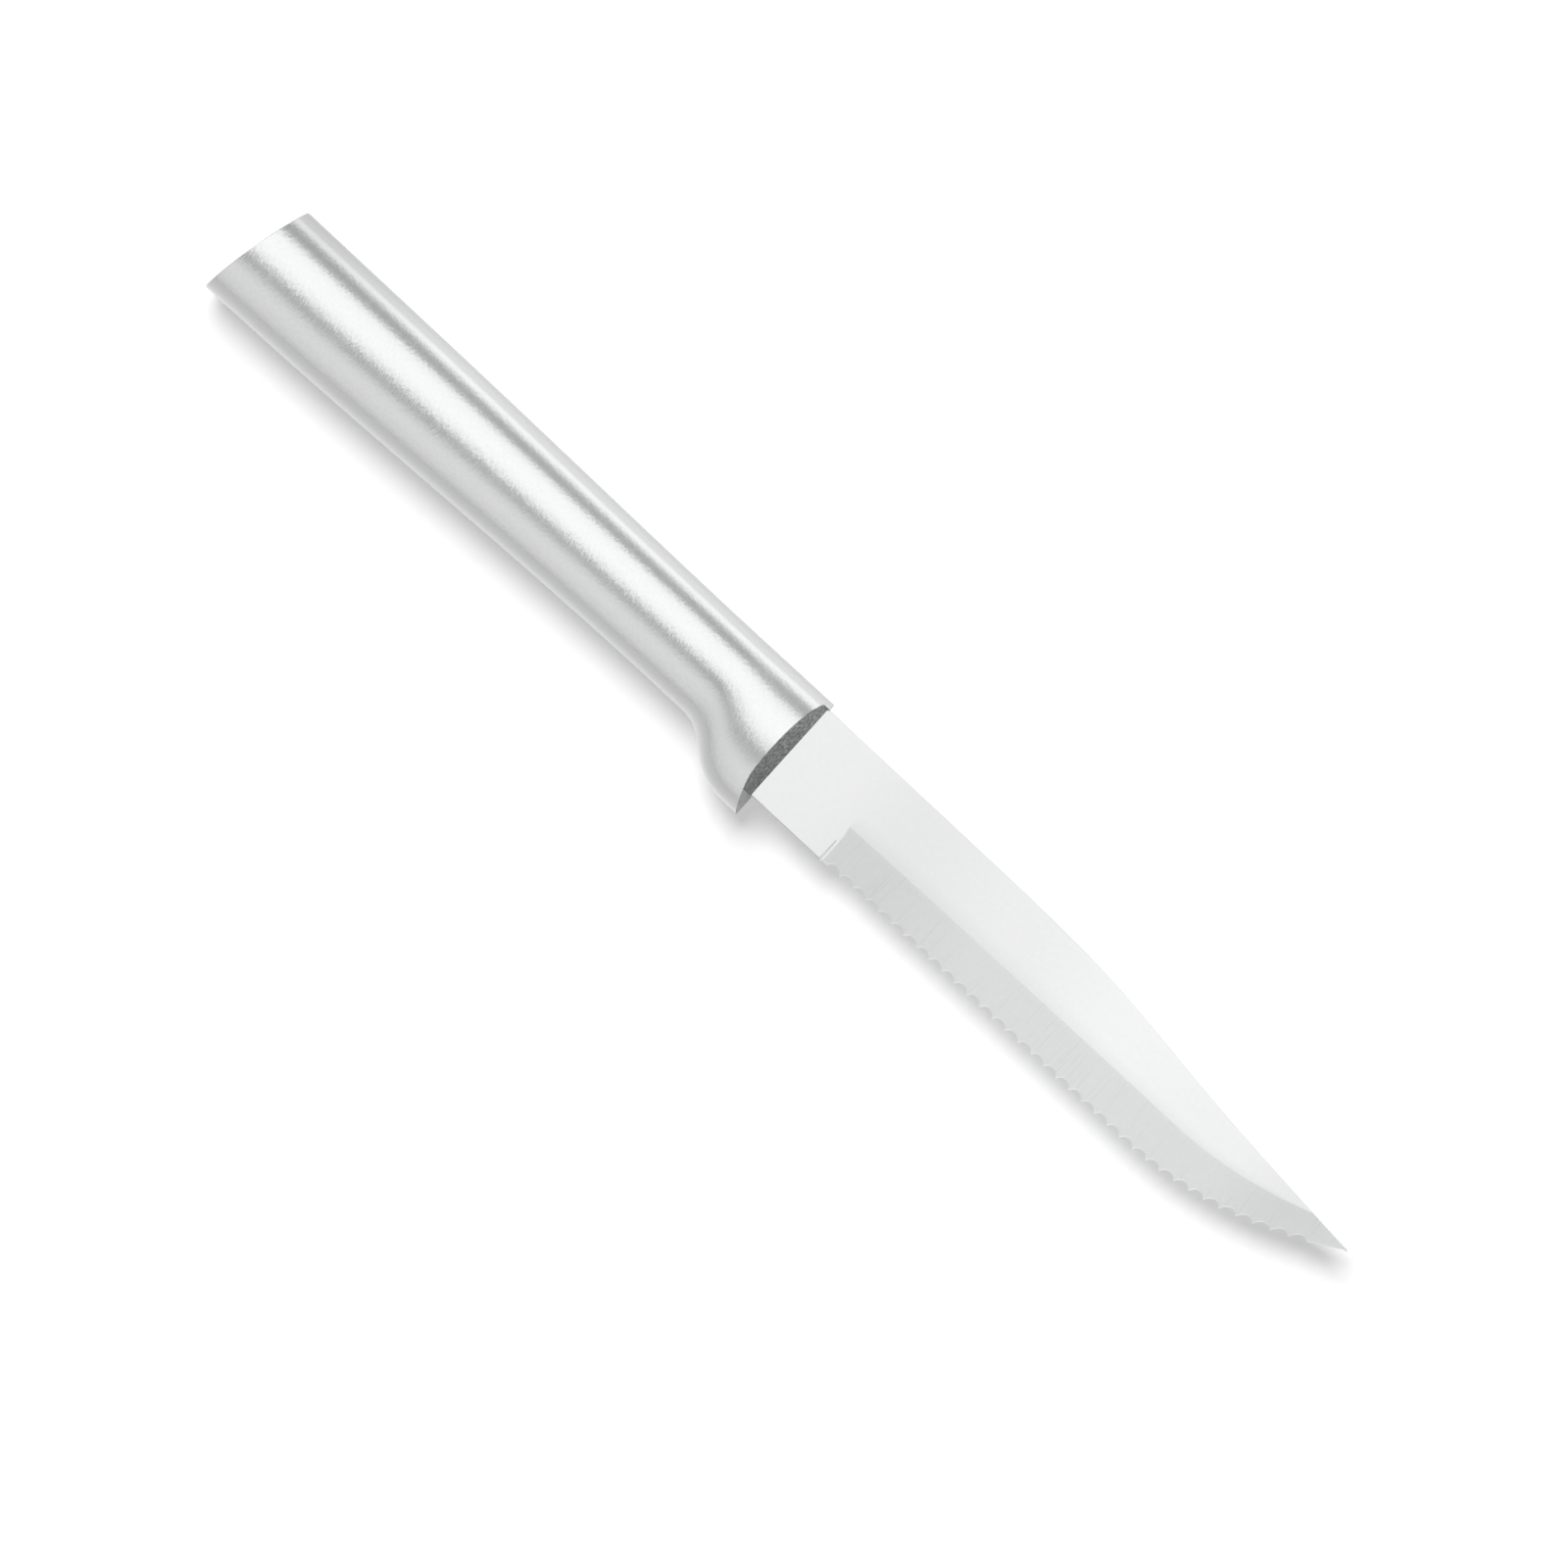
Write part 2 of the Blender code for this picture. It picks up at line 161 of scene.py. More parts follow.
class HandleSizes(PropertyGroup):
    """Sizes of the cast handle."""

    butt_height: length("Butt height", 0.0164, "Height at the butt")
    butt_slant: length("Butt slant", 0.00335, "Forward lean of the butt at the back")
    butt_dome: length("Butt dome", 0.00008, "Bulge of the butt's face")
    butt_bow: length("Butt bow", 0.00028, "Outward bow of the butt's outline")
    bow_length: length("Bow length", 0.012, "How far the bow runs up the handle")
    butt_rim: length("Butt rim", 0.0001, "Radius of the butt's worn edge")
    waist_height: length("Waist height", 0.0141, "Height at the waist")
    waist_position: length("Waist position", 0.0190, "From the waist to the front")
    waist_start: length("Waist start", 0.0700, "From where the handle draws in to the front")
    waist_thickness: length("Waist thickness", 0.0117, "Thickness at the waist")
    back_hollow: length("Back hollow", 0.0003, "Hollow of the back behind the blade")
    back_drop: length("Back drop", 0.0002, "Drop of the back at the front")
    nose_length: length("Nose length", 0.0020, "Flat length of the guard's nose")
    curve_length: length("Guard curve", 0.0123, "Length of the drop from waist to nose")
    curve_lead: length("Guard curve lead", 0.0049, "How long the drop clings to the waist")
    nose_lead: length("Guard nose lead", 0.0072, "How long the drop clings to the nose")
    front_lean: length("Front lean", 0.0003, "Forward lean of the front at the nose")
    draft: length("Front draft", 0.0024, "Fall of the front face above and below")
    nose_draft: share("Nose draft", 0.5, "How much of that is left at the nose")
    nose_draft_height: length("Nose draft height", 0.0051, "From there up the draft is full")
    section_power: number("Section power", 2.15, "2 is an ellipse, and more is squarer")


class BladeSizes(PropertyGroup):
    """Sizes of the blade."""

    thickness: length("Thickness", 0.0013, "Thickness between the flat cheeks")
    root_depth: length("Root depth", 0.0040, "Full-width steel inside the handle")
    root_length: length("Root length", 0.01235, "Unground steel in front of the handle")
    root_extra: length("Root extra", 0.0002, "Reach of the root below the edge")
    root_step: length("Root step", 0.0004, "Length of the step from root to edge")
    spine_straight: length("Straight spine", 0.0321, "Straight part of the spine")
    spine_lead: length("Spine lead", 0.0297, "How long the spine clings to the straight")
    point_drop: length("Point drop", 0.0055, "From the spine's height to the point")
    point_lead: length("Point lead", 0.0426, "How long the spine clings to its last slope")
    point_slope: number("Point slope", 0.0717, "Slope of the spine's last lead")
    sweep_length: length("Edge sweep", 0.0318, "Length of the edge's rise to the point")
    bevel_height: length("Bevel height", 0.0062, "Height of the ground bevel")
    bevel_at_stop: length("Bevel at the stop", 0.0057, "Its height at the stop")
    bevel_sweep: length("Bevel sweep", 0.0285, "Length of the bevel line's rise")
    bevel_radius: length("Bevel sweep radius", 0.0633, "Radius of that rise")
    edge_thickness: length("Edge thickness", 0.0002, "Thickness left at the edge")
    plunge: length("Plunge", 0.00045, "Radius that the wheel leaves at the stop")
    pitch: length("Scallop pitch", 0.00229, "From one scallop to the next")
    radius: length("Scallop radius", 0.0011, "Radius of the scallops")
    depth: length("Scallop depth", 0.0008, "Depth of the scallops")
    setback: length("Scallop setback", 0.0012, "From the stop to the first scallop")
    plain_point: length("Plain point", 0.00485, "Plain edge behind the point")
    flute_lean: angle("Flute lean", 70.0, "Lean of the grinding wheel on the far side")
    honing: length("Honing", 0.0003, "Width of the rounded strip along the edge")
    honing_tilt: number("Honing tilt", 0.3, "Slope that the strip gains at the edge")
    cusp_wear: length("Cusp wear", 0.00006, "Rounding of the scallops' tips")
    bevel_soft: length("Bevel line wear", 0.00011, "Half width of the bevel line's rounding")
    # The dark line at the foot of the stop is painted shade
    stop_line: length("Stop line", 0.00012, "Width of the dark line at the foot of the stop")
    corner: length("Spine corner", 0.00013, "Rounding of the spine's corners")
    foot: length("Foot corner", 0.00022, "Rounding of the root's lower corners")
    nib: length("Nib", 0.0003, "Height left at the very point")
    tang_width: length("Tang width", 0.0095, "Width of the tang")
    tang_set_down: length("Tang set-down", 0.0017, "From the spine to the tang")
    tang_corner: length("Tang corner", 0.0030, "Radius of the tang's corners")
    hole_diameter: length("Keying hole", 0.0046, "Diameter of the two keying holes")
    hole_from_root: length("Hole from root", 0.0130, "Place of the first hole")
    hole_from_end: length("Hole from end", 0.0100, "Place of the second hole")


class MetalFinish(PropertyGroup):
    """Colours and gloss of the metals."""

    handle_colour: colour("Handle", (0.925, 0.935, 0.93), "Brushed aluminium")
    handle_roughness: share("Handle roughness", 0.30, "Of the brushed handle")
    handle_grain: share("Handle grain", 0.85, "How much the scratches spread the gloss")
    scratch_depth: length("Scratch depth", 0.000045, "Depth of the handle's scratches")
    sanded_roughness: share("Sanded roughness", 0.5, "Of the butt's face and the trimmed nose")
    cast_colour: colour("As cast", (0.262, 0.272, 0.267), "Rough skin round the blade")
    cheek_colour: colour("Cheek", (0.985, 0.995, 0.99), "Satin cheek of the blade")
    cheek_roughness: share("Cheek roughness", 0.17, "Of the satin cheek")
    bevel_colour: colour("Bevel", (0.985, 1.0, 0.995), "Ground bevel")
    bevel_roughness: share("Bevel roughness", 0.45, "Of the ground bevel")
    # Painted shade on the root's lower corner and at the foot of the stop
    shaded_colour: colour("Shaded corner", (0.66, 0.665, 0.663), "Worn lower corner of the root")
    honed_roughness: share("Honed roughness", 0.5, "Of the strip along the edge")
    honed_colour: colour("Honed strip", (0.96, 0.972, 0.965), "Strip along the edge")


class Studio(PropertyGroup):
    """Camera, floor and light."""

    frame_width: length("Frame width", 0.2067, "Width that the picture takes in")
    centre_x: length("Centre X", 0.0021, "Middle of the picture")
    centre_y: length("Centre Y", -0.00258, "Middle of the picture")
    turn: angle("Turn", 43.0, "Turn of the knife in the picture")
    lens: number("Lens", 300.0, "Focal length", unit="CAMERA")
    floor_size: length("Floor size", 8.0, "Width of the floor")
    floor_white: share("Floor white", 0.56, "Whiteness of the floor")
    floor_glow: number("Floor glow", 0.39, "Glow that makes the floor white")
    light: number("Light", 1.0, "Level of the light tent")
    tent_on_floor: number("Tent on floor", 0.25, "Share of that level on the floor")
    key: number("Key", 3.4, "Strength of the key lamp")
    key_tilt: angle("Key tilt", 29.8, "Lean from straight above")
    key_side: angle("Key side", 16.0, "Lean to the left of the picture's top")
    key_size: angle("Key size", 31.0, "Width as the knife sees it")


class KnifeSettings(PropertyGroup):
    """All settings of the knife and its studio."""

    handle: PointerProperty(type=HandleSizes, name="Handle", description="Handle sizes")
    blade: PointerProperty(type=BladeSizes, name="Blade", description="Blade sizes")
    finish: PointerProperty(type=MetalFinish, name="Finish", description="Metals")
    studio: PointerProperty(type=Studio, name="Studio", description="Floor, light, camera")


# Curves

def clamp(value):
    """Keep a value between 0 and 1."""
    return min(max(value, 0.0), 1.0)


def ease(value):
    """Rise smoothly from 0 to 1 as the value does, and stay level outside."""
    value = clamp(value)
    return value * value * (3.0 - 2.0 * value)


def steps(start, end, count):
    """Evenly spaced values, without the last."""
    return [start + (end - start) * step / count for step in range(count)]


def arc_rise(radius, run):
    """Height that an arc gains over a run from where it is level."""
    return radius - math.sqrt(radius * radius - run * run)


def bezier(start, start_lead, end_lead, end):
    """Points along one Bezier curve in the plane."""
    return interpolate_bezier(Vector(start), Vector(start_lead), Vector(end_lead), Vector(end),
                              CURVE_POINTS)


def height_on(points, x):
    """Y of a curve that runs along X, read at x."""
    for first, second in zip(points, points[1:]):
        if first.x <= x <= second.x:
            part = (x - first.x) / (second.x - first.x)
            return first.y + part * (second.y - first.y)
    return points[0].y if x < points[0].x else points[-1].y


# Meshes

def place_object(name, data):
    """Put an object into the scene, in place of a former one of its name."""
    former = bpy.data.objects.get(name)
    if former:
        bpy.data.objects.remove(former, do_unlink=True)
    placed = bpy.data.objects.new(name, data)
    bpy.context.scene.collection.objects.link(placed)
    return placed


def new_piece(mesh, name, materials):
    """Make an object of a bmesh."""
    data = bpy.data.meshes.new(name)
    mesh.to_mesh(data)
    mesh.free()
    for material in materials:
        data.materials.append(material)
    return place_object(name, data)


def close_up(mesh):
    """Merge the seam, close the ends and turn all faces outwards."""
    bmesh.ops.remove_doubles(mesh, verts=mesh.verts, dist=MERGE_DISTANCE)
    ends = [edge for edge in mesh.edges if edge.is_boundary]
    bmesh.ops.holes_fill(mesh, edges=ends, sides=0)
    bmesh.ops.recalc_face_normals(mesh, faces=mesh.faces)


def skin(sections, zone, run):
    """Roll a grid round closed sections: zone gives a face's material and run a point's UV."""
    columns = len(sections) - 1
    rows = len(sections[0])
    mesh = bmesh.new()
    wrap = mesh.loops.layers.uv.new("wrap")
    bmesh.ops.create_grid(mesh, x_segments=columns, y_segments=rows, size=0.5)
    places = {}
    for vertex in mesh.verts:
        places[vertex] = (round((vertex.co.x + 0.5) * columns), round((vertex.co.y + 0.5) * rows))
    for face in mesh.faces:
        corners = [places[loop.vert] for loop in face.loops]
        face.material_index = zone(*map(min, zip(*corners)))
        for loop, corner in zip(face.loops, corners):
            loop[wrap].uv = run(*corner)
    for vertex, (column, row) in places.items():
        vertex.co = sections[column][row % rows]
    close_up(mesh)
    return mesh


def combine(piece, tool, operation):
    """Cut a tool's shape out of a piece, or join it on."""
    modifier = piece.modifiers.new(tool.name, "BOOLEAN")
    modifier.operation = operation
    modifier.solver = "EXACT"
    modifier.object = tool


def settle(piece, tools, sharp_degrees):
    """Keep what the modifiers make of a piece, remove the tools and shade the piece smooth."""
    graph = bpy.context.evaluated_depsgraph_get()
    data = bpy.data.meshes.new_from_object(piece.evaluated_get(graph), depsgraph=graph,
                                           preserve_all_data_layers=True)
    piece.modifiers.clear()
    data.shade_smooth()
    data.set_sharp_from_angle(angle=math.radians(sharp_degrees))
    piece.data = data
    for tool in tools:
        bpy.data.objects.remove(tool, do_unlink=True)


def box_between(low, high):
    """A box mesh from one corner to the other."""
    mesh = bmesh.new()
    low = Vector(low)
    high = Vector(high)
    size = Matrix.Diagonal((*(high - low), 1.0))
    bmesh.ops.create_cube(mesh, size=1.0, matrix=Matrix.Translation((low + high) / 2) @ size)
    return mesh


# The handle

def guard_curve(sizes):
    """The drop of the belly from the waist to the nose of the guard."""
    waist_y = BACK_Y - sizes.back_hollow - sizes.waist_height
    nose_x = FRONT_X - sizes.nose_length
    start_x = nose_x - sizes.curve_length
    return bezier((start_x, waist_y), (start_x + sizes.curve_lead, waist_y),
                  (nose_x - sizes.nose_lead, NOSE_Y), (nose_x, NOSE_Y))


def towards_waist(sizes, x):
    """How far x lies from where the handle begins to draw in, 0, to its waist, 1."""
    return (x - (FRONT_X - sizes.waist_start)) / (sizes.waist_start - sizes.waist_position)


def back_line(sizes, x):
    """Y of the handle's back."""
    waist_x = FRONT_X - sizes.waist_position
    hollow = sizes.back_hollow * ease(towards_waist(sizes, x))
    rise = (sizes.back_hollow - sizes.back_drop) * ease((x - waist_x) / sizes.waist_position)
    return BACK_Y - hollow + rise


def belly_line(sizes, guard, x):
    """Y of the handle's belly."""
    if x > guard[0].x:
        return height_on(guard, x)
    butt_y = BACK_Y - sizes.butt_height
    waist_x = FRONT_X - sizes.waist_position
    return butt_y + (guard[0].y - butt_y) * ease((x - BUTT_X) / (waist_x - BUTT_X))


def half_thickness(sizes, x):
    """Half of the handle's thickness at x."""
    waist_x = FRONT_X - sizes.waist_position
    thinning = (HANDLE_THICKNESS - sizes.waist_thickness) / 2
    widens = ease((x - waist_x) / (sizes.waist_position - 2 * sizes.draft))
    return HANDLE_THICKNESS / 2 - thinning * (ease(towards_waist(sizes, x)) - widens)


def section_frame(sizes, guard, part, inset=0.0, push=0.0, scale=1.0):
    """The matrix that puts a unit section at a part of the way from butt to front."""
    back_x = (BUTT_X + sizes.butt_slant) * (1 - part) + FRONT_X * part
    belly_x = BUTT_X * (1 - part) + (FRONT_X + sizes.front_lean) * part
    top_y = back_line(sizes, back_x)
    bottom_y = belly_line(sizes, guard, belly_x)
    centre_x = (back_x + belly_x) / 2
    half_height = (top_y - bottom_y) / 2
    keep = (half_height - inset) / half_height * scale
    depth = (half_thickness(sizes, centre_x) - inset) * scale
    return Matrix((((back_x - belly_x) / 2 * keep, 0, centre_x + push),
                   (half_height * keep, 0, (top_y + bottom_y) / 2),
                   (0, depth, MIDDLE_Z)))


def unit_section(power):
    """A rounded oval of half-width 1, as rows of (across, up, 1)."""
    points = []
    for turn in steps(0.0, 2 * math.pi, HANDLE_SIDES):
        across, up = (math.copysign(abs(value) ** (2 / power), value)
                      for value in (math.cos(turn), math.sin(turn)))
        points.append(Vector((across, up, 1.0)))
    return points


def handle_frames(sizes, guard):
    """Section frames of the domed butt, its worn rim, the body and the guard."""
    frames = []
    for step in range(DOME_STEPS):
        part = (step + FIRST_RING) / DOME_STEPS
        push = -sizes.butt_dome * (1 - part * part)
        frames.append(section_frame(sizes, guard, 0.0, sizes.butt_rim, push, part))
    for turn in steps(0.0, math.pi / 2, RIM_STEPS) + [math.pi / 2]:
        frames.append(section_frame(sizes, guard, 0.0, sizes.butt_rim * (1 - math.sin(turn)),
                                    sizes.butt_rim * (1 - math.cos(turn))))
    handle_length = FRONT_X - BUTT_X
    start = 2 * sizes.butt_rim / handle_length
    turn_in = 1 - (sizes.nose_length + sizes.curve_length + GUARD_LEAD_IN) / handle_length
    body = math.ceil((turn_in - start) * handle_length / BODY_STATION_STEP)
    front = math.ceil((1 - turn_in) * handle_length / GUARD_STATION_STEP)
    parts = steps(start, turn_in, body) + steps(turn_in, 1.0, front) + [1.0]
    return frames + [section_frame(sizes, guard, part) for part in parts]


def cast_body(sizes):
    """The handle's outer skin, from the domed butt to a flat front."""
    guard = guard_curve(sizes)
    section = unit_section(sizes.section_power)
    half_round = math.pi * (HANDLE_THICKNESS + sizes.waist_height) / 4
    sections = []
    for frame_matrix in handle_frames(sizes, guard):
        bow = sizes.butt_bow * ease(1 - (frame_matrix[0][2] - BUTT_X) / sizes.bow_length)
        places = [frame_matrix @ point for point in section]
        for place in places:
            across = (place.y - BACK_Y) / (sizes.butt_height / 2) + 1
            place.x -= bow * max(1 - across ** 2, 0.0)
        sections.append(places)

    def run(column, row):
        point = sections[column][row % HANDLE_SIDES]
        return (point.x / MM, (row / HANDLE_SIDES * 2 - 1) * half_round / MM)

    mesh = skin(sections, lambda column, row: 3 if column < DOME_STEPS else 0, run)
    for face in mesh.faces:
        if len(face.verts) > 4 and face.calc_center_median().x < BUTT_X + sizes.butt_slant:
            face.material_index = 3
    # The lean map holds each point's steepness and sideways lean, which place the painted shade on
    # the flanks
    lean = mesh.loops.layers.uv.new("lean")
    mesh.normal_update()
    for face in mesh.faces:
        for loop in face.loops:
            normal = loop.vert.normal
            steepness = math.acos(min(abs(normal.z), 1.0)) / (math.pi / 2)
            loop[lean].uv = (steepness, normal.y / 2 + 0.5)
    return mesh


def draft_tool(sizes, side):
    """The wedge that leans the front face back above the blade, side 1, or below it, -1."""
    run = HANDLE_THICKNESS / 2 * DRAFT_REACH
    heights = steps(NOSE_Y - OVERCUT, ROOT_EDGE_Y, DRAFT_STEPS)
    heights += steps(ROOT_EDGE_Y, SPINE_Y, DRAFT_STEPS) + [SPINE_Y]
    sections = []
    for y in heights:
        front_x = FRONT_X + sizes.front_lean * (BACK_Y - y) / (BACK_Y - NOSE_Y)
        near_nose = 1 - clamp((y - NOSE_Y) / sizes.nose_draft_height)
        kept = 1 - (1 - sizes.nose_draft) * near_nose ** NOSE_FADE
        back_x = front_x - sizes.draft * kept * DRAFT_REACH
        corners = ((front_x, 0.0), (front_x + run, 0.0), (front_x + run, run), (back_x, run))
        sections.append([Vector((x, y, MIDDLE_Z + side * rise)) for x, rise in corners])
    mesh = skin(sections, lambda column, row: 0, lambda column, row: (0.0, 0.0))
    for face in mesh.faces:
        face.material_index = 1 if face.calc_center_median().y > ROOT_EDGE_Y else 2
    return mesh


def tang_plate(sizes, grow):
    """The tang as a plate with round corners, grown on all sides."""
    top_y = SPINE_Y - sizes.tang_set_down
    front_x = FRONT_X - sizes.root_depth + TANG_OVERLAP
    half = TANG_THICKNESS / 2 + grow
    mesh = box_between((TANG_END_X - grow, top_y - sizes.tang_width - grow, MIDDLE_Z - half),
                       (front_x, top_y + grow, MIDDLE_Z + half))
    ends = [edge for edge in mesh.edges
            if all(vertex.co.x < TANG_END_X + SNAP for vertex in edge.verts)
            and abs(edge.verts[0].co.y - edge.verts[1].co.y) < SNAP]
    bmesh.ops.bevel(mesh, geom=ends, offset=sizes.tang_corner + grow, segments=CORNER_STEPS,
                    profile=0.5, affect="EDGES", material=-1)
    return mesh


def keying_pins(sizes, shrink):
    """Round pins through the tang's two holes."""
    shoulder_x = FRONT_X - sizes.root_depth
    middle_y = SPINE_Y - sizes.tang_set_down - sizes.tang_width / 2
    radius = sizes.hole_diameter / 2 - shrink
    mesh = bmesh.new()
    for x in (shoulder_x - sizes.hole_from_root, TANG_END_X + sizes.hole_from_end):
        place = Matrix.Translation((x, middle_y, MIDDLE_Z))
        bmesh.ops.create_cone(mesh, cap_ends=True, segments=HOLE_SIDES, radius1=radius,
                              radius2=radius, depth=3 * TANG_THICKNESS, matrix=place)
    return mesh


def keyed_tang(sizes, name, grow):
    """The tang with its two holes, as a tool or to join to the blade."""
    tang = new_piece(tang_plate(sizes, grow), name, [])
    pins = new_piece(keying_pins(sizes, grow), name + "_pins", [])
    combine(tang, pins, "DIFFERENCE")
    settle(tang, [pins], BLADE_SHARP)
    return tang


def build_handle(settings):
    """Cast the handle, draft its front face and open the pocket for the tang."""
    sizes = settings.handle
    blade = settings.blade
    finish = settings.finish
    metals = [brushed_aluminium(settings), cast_skin(finish),
              sanded_aluminium(finish, "trimmed_aluminium", low=0.36, high=0.50),
              sanded_aluminium(finish, "butt_aluminium", low=0.72, high=0.82)]
    handle = new_piece(cast_body(sizes), "cast_handle", metals)
    tools = []
    for side, word in ((1, "upper"), (-1, "lower")):
        tools.append(new_piece(draft_tool(sizes, side), word + "_draft", metals))
    half = blade.thickness / 2 + POCKET_FIT
    inner_x = FRONT_X - blade.root_depth - POCKET_FIT
    mouth = box_between((inner_x, ROOT_EDGE_Y - POCKET_FIT, MIDDLE_Z - half),
                        (FRONT_X + OVERCUT, SPINE_Y + POCKET_FIT, MIDDLE_Z + half))
    tools.append(new_piece(mouth, "root_pocket", metals))
    tools.append(keyed_tang(blade, "tang_pocket", POCKET_FIT))
    for tool in tools:
        combine(handle, tool, "DIFFERENCE")
    settle(handle, tools, HANDLE_SHARP)
    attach(handle, "root")
    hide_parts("handle")
    return handle


# The blade

class BladeLines:
    """The blade's outline, bevel and scallops as functions of x."""

    def __init__(self, sizes):
        self.sizes = sizes
        self.edge_y = ROOT_EDGE_Y + sizes.root_extra
        self.point_y = SPINE_Y - sizes.point_drop
        self.stop_x = FRONT_X + sizes.root_length
        self.shoulder_x = FRONT_X - sizes.root_depth
        bend_x = FRONT_X + sizes.spine_straight
        end_lead = (POINT_X - sizes.point_lead, self.point_y + sizes.point_slope * sizes.point_lead)
        self.bend = bezier((bend_x, SPINE_Y), (bend_x + sizes.spine_lead, SPINE_Y), end_lead,
                           (POINT_X, self.point_y))
        rise = self.point_y - self.edge_y
        self.sweep_radius = (sizes.sweep_length ** 2 + rise ** 2) / (2 * rise)
        self.first_x = self.stop_x + sizes.setback
        run = POINT_X - sizes.plain_point - self.first_x
        self.count = round(run / sizes.pitch)
        open_height = sizes.radius - sizes.depth
        self.half_open = math.sqrt(sizes.radius ** 2 - open_height ** 2)

    def in_root(self, x):
        """Whether x lies in the unground root, before the stop."""
        return x < self.stop_x - SNAP

    def spine(self, x):
        """Y of the spine."""
        return height_on(self.bend, x)

    def edge(self, x):
        """Y of the line through the scallops' tips."""
        run = x - (POINT_X - self.sizes.sweep_length)
        extra = self.sizes.root_extra * (1 - clamp((x - self.stop_x) / self.sizes.root_step))
        return self.edge_y - extra + arc_rise(self.sweep_radius, max(run, 0.0))

    def bevel(self, x):
        """Y where the bevel meets the cheek."""
        sweep_x = POINT_X - self.sizes.bevel_sweep
        part = clamp((x - self.stop_x) / (sweep_x - self.stop_x))
        growth = (self.sizes.bevel_height - self.sizes.bevel_at_stop) * (1 - (1 - part) ** 2)
        rise = arc_rise(self.sizes.bevel_radius, max(x - sweep_x, 0.0))
        return self.edge_y + self.sizes.bevel_at_stop + growth + rise

    def scallop_rise(self, x):
        """How far the scallops cut in from the edge line at x."""
        index = math.floor((x - self.first_x) / self.sizes.pitch)
        if not 0 <= index < self.count:
            return 0.0
        middle = self.first_x + (index + 0.5) * self.sizes.pitch
        off = min(abs(x - middle), self.half_open)
        arch = math.sqrt(self.sizes.radius ** 2 - off ** 2)
        rise = max(arch - (self.sizes.radius - self.sizes.depth), 0.0)
        return rise * rise / (rise + self.sizes.cusp_wear)

    def ground(self, x):
        """Share of the bevel's full depth that is ground away at x."""
        part = clamp((x - self.stop_x) / self.sizes.plunge)
        return math.sqrt(1 - (1 - part) ** 2)

    def stations(self):
        """Where the blade's sections lie, closest in the scallops and at the stop."""
        places = steps(self.shoulder_x, self.stop_x, ROOT_STEPS)
        # This station bounds the painted shade line at the foot of the stop
        places.append(self.stop_x - self.sizes.stop_line)
        for turn in steps(0.0, math.pi / 2, PLUNGE_STEPS):
            places.append(self.stop_x + self.sizes.plunge * (1 - math.cos(turn)))
        places.append(self.stop_x + self.sizes.plunge)
        reach = math.asin(self.half_open / self.sizes.radius)
        for index in range(self.count):
            middle = self.first_x + (index + 0.5) * self.sizes.pitch
            for step in range(SCALLOP_STEPS + 1):
                turn = reach * (2 * step / SCALLOP_STEPS - 1)
                places.append(middle + self.sizes.radius * math.sin(turn))
        last_x = self.first_x + self.count * self.sizes.pitch
        return places + steps(last_x, POINT_X, POINT_STEPS) + [POINT_X]


def bevel_drop(blade, x, y):
    """How far the ground bevel lies under the cheek at a point."""
    sizes = blade.sizes
    line = blade.bevel(x)
    slope = (sizes.thickness - sizes.edge_thickness) / 2 / (line - blade.edge(x))
    soft = sizes.bevel_soft
    below = line - y
    if abs(below) < soft:
        below = (below + soft) ** 2 / (4 * soft)
    return slope * max(below, 0.0) * blade.ground(x)


def corner_rows(outer, radius, half, turn_in):
    """The round corner between a narrow side and a cheek, from the side inwards."""
    rows = []
    for turn in steps(0.0, math.pi / 2, CORNER_ROWS) + [math.pi / 2]:
        rows.append((outer - turn_in * radius * (1 - math.cos(turn)),
                     half - radius * (1 - math.sin(turn))))
    rows.append((outer - turn_in * (radius + ROW_GAP), half))
    return rows


def root_foot(sizes, edge, top):
    """The lower part of an unground section, down one side and up the other."""
    half = sizes.thickness / 2
    corner = corner_rows(edge, sizes.foot, half, -1)
    start = edge + sizes.foot + ROW_GAP
    down = [(y, half) for y in steps(top, start, LOWER_ROWS)[1:]]
    up = [(y, -half) for y in steps(start, top, LOWER_ROWS)[1:]]
    return down + corner[::-1] + [(y, -z) for y, z in corner] + up


def ground_edge(blade, x, edge, line, soft):
    """The lower part of a ground section, with the honed strip and the scallop's flute."""
    sizes = blade.sizes

    def side(y):
        return sizes.thickness / 2 - bevel_drop(blade, x, y)

    honing = min(sizes.honing, HONING_SHARE * (line - edge))
    foot_rows = CORNER_ROWS + 1
    rows = [(y, side(y)) for y in steps(line - soft, edge + honing, LOWER_ROWS)[1:]]
    for y in steps(edge + honing, edge, foot_rows) + [edge]:
        gone = max(honing - (y - edge), 0.0)
        rows.append((y, side(y) - sizes.honing_tilt * gone * gone / (2 * sizes.honing)))
    edge_z = rows[-1][1] - EDGE_LAND
    reach = min(FLUTE_REACH, FLUTE_SHARE * (line - edge))
    for y in steps(edge, edge + reach, LOWER_ROWS) + [edge + reach]:
        z = -side(y)
        if blade.scallop_rise(x) > 0:
            z = max(z, edge_z - (y - edge) / math.tan(sizes.flute_lean))
        rows.append((y, min(z, edge_z)))
    return rows + [(y, -side(y)) for y in steps(edge + reach, line - soft, foot_rows)[1:]]


